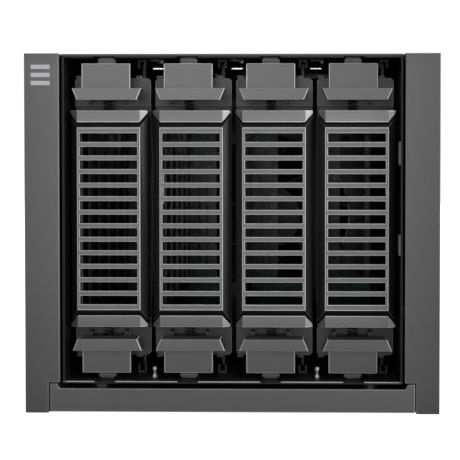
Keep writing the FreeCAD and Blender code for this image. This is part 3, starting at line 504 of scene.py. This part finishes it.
def make_latch_spring(side, bay):
    """A coil spring between the finger rest and the latch's stem, at one fixed length; the real one is
    squeezed as the latch is pressed.
    """
    node = f"latch_spring_{side}_{bay}"
    low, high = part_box(node)
    middle = (low + high) / 2
    radius = (high.x - low.x) / 2 - SPRING_WIRE

    def build(work):
        helix(work, (middle.x, middle.y, low.z), radius, SPRING_WIRE, high.z - low.z, SPRING_TURNS)

    spring = new_piece(f"coil_{side}_{bay}", build, COIL, f"tray_{bay}")
    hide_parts(node)
    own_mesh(spring)


# ---------------------------------------------------------------- screws
RIM = 0.35  # the straight part of a head, as a share of its height
DOME = 0.28  # how far the dome draws in, as a share of the head's radius
FLAT = 0.62  # the radius of the flat top, as a share of the head's
BAR_LENGTH, BAR_WIDTH = 1.15, 0.24  # of the recess, as shares of the head's radius
BAR_DEPTH, BAR_LIFT = 0.9, 0.78  # of the recess, as shares of the head's height
RECESS_TURN = 20  # degrees


def facing(outward):
    """The turn from +Z to a direction."""
    return Vector((0, 0, 1)).rotation_difference(Vector(outward)).to_matrix().to_4x4()


def axis_of(outward):
    """The number of the axis that a direction along Y or Z lies on."""
    return 1 if abs(outward[1]) > 0.5 else 2


def off_axis(corner, centre, axis):
    """Distance of a corner from a screw's axis."""
    offset = corner - centre
    offset[axis] = 0
    return offset.length


def loose_places(node):
    """The corners and the box of each separate solid of a CAD node."""
    work = bmesh.new()
    work.from_mesh(NODES[node].data)
    bmesh.ops.remove_doubles(work, verts=work.verts, dist=WELD_GAP)
    seen, boxes = set(), []
    for vert in work.verts:
        if vert in seen:
            continue
        shell, todo = [], [vert]
        seen.add(vert)
        while todo:
            this = todo.pop()
            shell.append(this.co.copy())
            for edge in this.link_edges:
                other = edge.other_vert(this)
                if other not in seen:
                    seen.add(other)
                    todo.append(other)
        boxes.append((shell, Vector(map(min, *shell)), Vector(map(max, *shell))))
    work.free()
    return boxes


def screw_places(node, outward):
    """The places of a group's screw heads, where each head meets what it holds."""
    places = []
    axis = axis_of(outward)
    sign = 1 if outward[axis] > 0 else -1
    for shell, low, high in loose_places(node):
        centre = (low + high) / 2
        widest = max(off_axis(corner, centre, axis) for corner in shell)
        head = [corner for corner in shell if off_axis(corner, centre, axis) > 0.9 * widest]
        centre[axis] = min(sign * corner[axis] for corner in head) * sign
        places.append(centre)
    return places


def pan_head_screw(work, centre, outward, radius, height, shank_radius, shank_length):
    """Adds a pan-head screw without its recess; outward points out of the head."""
    matrix = Matrix.Translation(Vector(centre)) @ facing(outward)
    profile = [(shank_radius, -shank_length), (shank_radius, 0), (radius, 0), (radius, RIM * height)]
    for i in range(1, 5):
        angle = math.radians(90 * i / 5)
        reach = 1 - DOME + DOME * math.cos(angle)
        rise = RIM + (1 - RIM) * math.sin(angle)
        profile.append((radius * reach, height * rise))
    profile.append((radius * FLAT, height))
    add_lathe(work, matrix, profile, 36)


def recess_cutter(name, centres, outward, radius, height):
    """Two crossed bars at each screw head of a radius and height, to be cut out of it."""
    mesh = bpy.data.meshes.new(name)
    work = bmesh.new()
    size = (radius * BAR_LENGTH, radius * BAR_WIDTH, height * BAR_DEPTH)
    shift = Matrix.Translation((0, 0, height * BAR_LIFT))
    for centre in centres:
        for spin in (0, 90):
            turn = Matrix.Rotation(math.radians(spin + RECESS_TURN), 4, "Z")
            matrix = Matrix.Translation(Vector(centre)) @ facing(outward) @ turn @ shift
            made = bmesh.ops.create_cube(work, size=1.0)
            bmesh.ops.transform(work, matrix=matrix @ Matrix.Diagonal((*size, 1)), verts=made["verts"])
    work.to_mesh(mesh)
    work.free()
    cutter = bpy.data.objects.new(name, mesh)
    bpy.context.scene.collection.objects.link(cutter)
    return cutter


def apply_modifiers(item):
    """Puts an object's modifiers into its mesh."""
    bpy.context.view_layer.update()
    graph = bpy.context.evaluated_depsgraph_get()
    done = bpy.data.meshes.new_from_object(item.evaluated_get(graph))
    item.modifiers.clear()
    item.data = done


def sharpen(item, angle=35):
    """Smooth shading that keeps edges over an angle, in degrees, sharp."""
    item.data.shade_smooth()
    item.data.set_sharp_from_angle(angle=math.radians(angle))


def make_screws(name, node, outward, head_radius, head_height, shank_radius, metal):
    """Replaces a CAD group of screws with cross-recessed ones at the same places."""
    centres = screw_places(node, outward)
    low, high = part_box(node)
    length = (high - low)[axis_of(outward)] - head_height

    def build(work):
        for centre in centres:
            pan_head_screw(work, centre, outward, head_radius, head_height, shank_radius, length)

    screws = new_piece(name, build, metal, "chassis")
    cutter = recess_cutter(name + "_recess", centres, outward, head_radius, head_height)
    carve = screws.modifiers.new("recess", "BOOLEAN")
    carve.operation = "DIFFERENCE"
    carve.solver = "EXACT"
    carve.use_self = True
    carve.object = cutter
    apply_modifiers(screws)
    bpy.data.objects.remove(cutter)
    sharpen(screws)
    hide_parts(node)


# ---------------------------------------------------------------- fittings round the trays
# profiles of turned pieces: (radius, height) in millimetres
RIVET_HEAD = [(0.85, 0.0), (0.85, 0.9), (0.75, 1.25), (0.5, 1.5), (0.15, 1.6)]
RIVET_SETBACK = 2.0 * MM  # behind the leaf spring's front edge
STUD_FOOT = [(1.1, 0.0), (1.1, 1.1), (0.95, 1.3)]
STUD_NECK = [(0.62, 1.2), (0.62, 2.5), (0.8, 2.7), (1.1, 2.9)]
STUD_HEAD = [(1.1, 3.9), (0.95, 4.25), (0.6, 4.45), (0.2, 4.5)]
CLIP_HEIGHTS = ((96.0, 105.0), (61.0, 69.0))  # mm, of the two wall clips
CLIP_WIDTHS = (0.0642, 0.0651)
CLIP_DEPTHS = (-0.1125, -0.105)


def make_rivets():
    """A domed rivet head in the roof beside each leaf spring."""

    def build(work):
        for _, low, high in loose_places("bay_springs"):
            place = (high.x, low.y + RIVET_SETBACK, high.z)
            matrix = Matrix.Translation(place) @ Matrix.Rotation(math.pi, 4, "X")
            add_lathe(work, matrix, in_mm(RIVET_HEAD), 20)

    sharpen(new_piece("roof_rivets", build, DULL, "chassis"))


def make_studs():
    """Turned studs with a hexagonal foot, a neck and a rounded head."""

    def build(work):
        for _, low, high in loose_places("floor_studs"):
            place = Matrix.Translation(((low.x + high.x) / 2, (low.y + high.y) / 2, low.z))
            add_lathe(work, place, in_mm(STUD_FOOT), 6)
            add_lathe(work, place, in_mm(STUD_NECK + STUD_HEAD), 24)

    studs = new_piece("turned_studs", build, DULL, "chassis")
    sharpen(studs)
    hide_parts("floor_studs")


def make_wall_clips():
    """Two small pads on the right wall of the cage, beside the last tray."""

    def build(work):
        for low, high in CLIP_HEIGHTS:
            near = (CLIP_WIDTHS[0], CLIP_DEPTHS[0], low * MM)
            far = (CLIP_WIDTHS[1], CLIP_DEPTHS[1], high * MM)
            add_box(work, near, far, 0.2 * MM)

    new_piece("wall_clips", build, CLIP, "chassis", smooth=False)


# ---------------------------------------------------------------- boards
# all of these in millimetres
CHIPS = (  # y, z, width, height, thickness on the controller board
    (92.5, 60.5, 13, 13, 1.2),
    (89.0, 40.0, 9, 11, 1.0),
    (89.0, 128.0, 6, 8, 1.0),
    (88.0, 24.0, 6, 5, 1.1),
)
BACKPLANE_CHIPS = (34, 92, 108)  # z of the chips between the bays
CHIP_OFFSET, CHIP_HALF = 8, 3
CAPACITOR_SIZE = (1.1, 0.6, 0.6)  # length, height and thickness
BACKPLANE_CAPACITOR_SIZE = (1.2, 0.6, 0.6)
CANS = ((102.5, 64.0), (95.0, 64.0), (83.5, 69.0), (83.5, 78.0))  # y, z
CAN_PROFILE = [(2.6, 0.0), (2.6, 0.6), (2.35, 0.9), (2.6, 1.2), (2.6, 6.8), (2.3, 7.2), (1.9, 7.1)]
CONTACT_PITCH = 1.02


def make_chips(face, back):
    """Chips on the controller board's face and the backplane's back."""

    def build(work):
        for y, z, width, height, thick in CHIPS:
            near = (face, (y - width / 2) * MM, (z - height / 2) * MM)
            far = (face + thick * MM, (y + width / 2) * MM, (z + height / 2) * MM)
            add_box(work, near, far, 0.1 * MM)
        for bay in BAYS[1:]:
            x = (bay - 2.5) * BAY_PITCH - CHIP_OFFSET
            for z in BACKPLANE_CHIPS:
                near = ((x - CHIP_HALF) * MM, back, (z - CHIP_HALF) * MM)
                far = ((x + CHIP_HALF) * MM, back + 1.0 * MM, (z + CHIP_HALF) * MM)
                add_box(work, near, far, 0.1 * MM)

    new_piece("board_chips", build, MATERIALS["chip_black"], "chassis", smooth=False)


def make_capacitors(face, back):
    """Rows of small capacitors on both boards."""

    def build(work):
        length, height, thick = CAPACITOR_SIZE
        for i in range(26):
            y = 81.5 + 1.9 * (i % 4)
            z = 32 + 2.9 * (i // 4)
            far = (face + thick * MM, (y + length) * MM, (z + height) * MM)
            add_box(work, (face, y * MM, z * MM), far, 0.05 * MM)
        length, height, thick = BACKPLANE_CAPACITOR_SIZE
        for i in range(24):
            x = -24.5 + BAY_PITCH * (i % 3) + random.uniform(-0.6, 0.6)
            z = 46 + 5 * (i // 3)
            far = ((x + length) * MM, back + thick * MM, (z + height) * MM)
            add_box(work, (x * MM, back, z * MM), far, 0.05 * MM)

    ceramic = MATERIALS["capacitor_tan"]
    new_piece("board_capacitors", build, ceramic, "chassis", smooth=False)


def make_cans(face):
    """Round capacitors that stand on the controller board."""

    def build(work):
        for y, z in CANS:
            place = Matrix.Translation((face, y * MM, z * MM))
            add_lathe(work, place @ Matrix.Rotation(math.radians(90), 4, "Y"), in_mm(CAN_PROFILE), 28)

    sharpen(new_piece("capacitor_cans", build, MATERIALS["sink_aluminium"], "chassis"))


def make_contacts():
    """Eight gold contacts in the network socket."""

    def build(work):
        low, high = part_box("lan_port")
        for i in range(8):
            z = (low.z + high.z) / 2 + (i - 3.5) * CONTACT_PITCH * MM
            near = (low.x + 3.4 * MM, low.y + 7 * MM, z - 0.2 * MM)
            far = (low.x + 3.8 * MM, high.y - 4 * MM, z + 0.2 * MM)
            add_box(work, near, far)

    new_piece("lan_contacts", build, GOLD, "chassis", smooth=False)


def make_board_parts():
    """The small parts of the controller board and the backplane."""
    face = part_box("controller_board")[1].x
    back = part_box("backplane_board")[1].y
    make_chips(face, back)
    make_capacitors(face, back)
    make_cans(face)
    make_contacts()


for side in SIDES:
    for bay in BAYS:
        make_latch_spring(side, bay)
STEEL = MATERIALS["bright_steel"]
BACKWARDS, DOWNWARDS = (0, 1, 0), (0, 0, -1)
make_screws("rear_fan_screws", "fan_screws", BACKWARDS, 4.0 * MM, 1.4 * MM, 2.0 * MM, COIL)
make_screws("rear_cover_screws", "cover_screws", BACKWARDS, 3.0 * MM, 2.0 * MM, 1.5 * MM, STEEL)
make_screws("rear_panel_screws", "panel_screws", BACKWARDS, 3.0 * MM, 2.0 * MM, 1.5 * MM, STEEL)
make_screws("under_base_screws", "base_screws", DOWNWARDS, 3.0 * MM, 2.1 * MM, 1.5 * MM, STEEL)
make_board_parts()
make_rivets()
make_studs()
make_wall_clips()


# ---------------------------------------------------------------- floor, light and camera
FLOOR_HALF = 6.0
FLOOR_LEVEL = -0.00005  # just under the feet
FLOOR_SEEN, FLOOR_GLOW = 0.95, 0.0  # what the camera sees, and what lights the object
WORLD_SEEN, WORLD_GLOW = 1.05, 0.12
SENSOR = 36.0
LENS = 105.85
REACH = 0.520  # from the camera to the aim
SHIFT = (-0.07, -0.13)
YAW, TILT = math.radians(1.2), math.radians(1.6)
AIM_X, AIM_Z = -0.0007, 0.0711
FRONT = (0, -0.1, 0.09)
LAMPS = (  # name, place, target, size, watts
    ("front", (-0.15, -1.25, 0.27), FRONT, 0.5, 3.3),
    ("right", (0.5, -1.1, 0.3), FRONT, 0.4, 3.0),
    ("key", (0.15, -0.7, 0.95), FRONT, 0.35, 4.0),
    ("side", (1.05, -0.6, 0.25), (-0.03, -0.1, 0.08), 0.4, 6.5),
    ("top", (0.0, 0.15, 1.2), (0, 0, 0.1), 0.8, 4.0),
    ("back", (0.5, 1.2, 0.5), (0, 0.1, 0.08), 0.6, 8.0),
)


def seen_or_lit(tree, seen, lit):
    """One value for what the camera sees and another for the light that it gives."""
    path = tree.nodes.new("ShaderNodeLightPath")
    return spread(tree, path.outputs["Is Camera Ray"], lit, seen)


def make_floor():
    """A plain pale floor."""
    mesh = bpy.data.meshes.new("floor")
    corners = [(x * FLOOR_HALF, y * FLOOR_HALF, FLOOR_LEVEL) for x, y in ((-1, -1), (1, -1), (1, 1), (-1, 1))]
    mesh.from_pydata(corners, [], [(0, 1, 2, 3)])
    material, tree, shader, place = node_material("floor_white")
    tint = ramp(tree, noise(tree, place, 3.0, 2.0), [(0.0, (0.86, 0.86, 0.86)), (1.0, (0.9, 0.9, 0.9))])
    tree.links.new(tint, shader.inputs["Base Color"])
    shader.inputs["Roughness"].default_value = 0.9
    shader.inputs["Emission Color"].default_value = (1, 1, 1, 1)
    tree.links.new(seen_or_lit(tree, FLOOR_SEEN, FLOOR_GLOW), shader.inputs["Emission Strength"])
    mesh.materials.append(material)
    floor = bpy.data.objects.new("floor", mesh)
    bpy.context.scene.collection.objects.link(floor)


def make_world():
    """An even white surround, dimmer as a light than as a backdrop."""
    world = bpy.data.worlds.new("studio")
    world.use_nodes = True
    tree = world.node_tree
    background = tree.nodes["Background"]
    background.inputs["Color"].default_value = (1, 1, 1, 1)
    tree.links.new(seen_or_lit(tree, WORLD_SEEN, WORLD_GLOW), background.inputs["Strength"])
    bpy.context.scene.world = world


def make_lamp(name, place, target, size, watts):
    """A soft square lamp that faces a target."""
    lamp = bpy.data.lights.new(name, "AREA")
    lamp.shape = "SQUARE"
    lamp.size = size
    lamp.energy = watts
    item = bpy.data.objects.new(name, lamp)
    item.location = place
    item.rotation_euler = (Vector(target) - Vector(place)).to_track_quat("-Z", "Y").to_euler()
    bpy.context.scene.collection.objects.link(item)


def make_camera():
    """A long lens, level with the upper part of the case and a little to its right."""
    data = bpy.data.cameras.new("camera")
    data.sensor_width = SENSOR
    data.lens = LENS
    data.shift_x, data.shift_y = SHIFT
    data.clip_start = 0.01
    camera = bpy.data.objects.new("camera", data)
    turn = Euler((math.pi / 2 - TILT, 0, YAW), "XYZ").to_matrix()
    right, up, back = turn.col[0], turn.col[1], turn.col[2]
    aim = Vector((AIM_X, cad_box[0].y, AIM_Z))
    sight = -back + right * (SHIFT[0] * SENSOR / LENS) + up * (SHIFT[1] * SENSOR / LENS)
    camera.location = aim - sight * REACH
    camera.rotation_euler = turn.to_euler()
    bpy.context.scene.collection.objects.link(camera)
    bpy.context.scene.camera = camera


make_floor()
make_world()
for lamp_row in LAMPS:
    make_lamp(*lamp_row)
make_camera()
bpy.context.scene.view_settings.view_transform = "Standard"
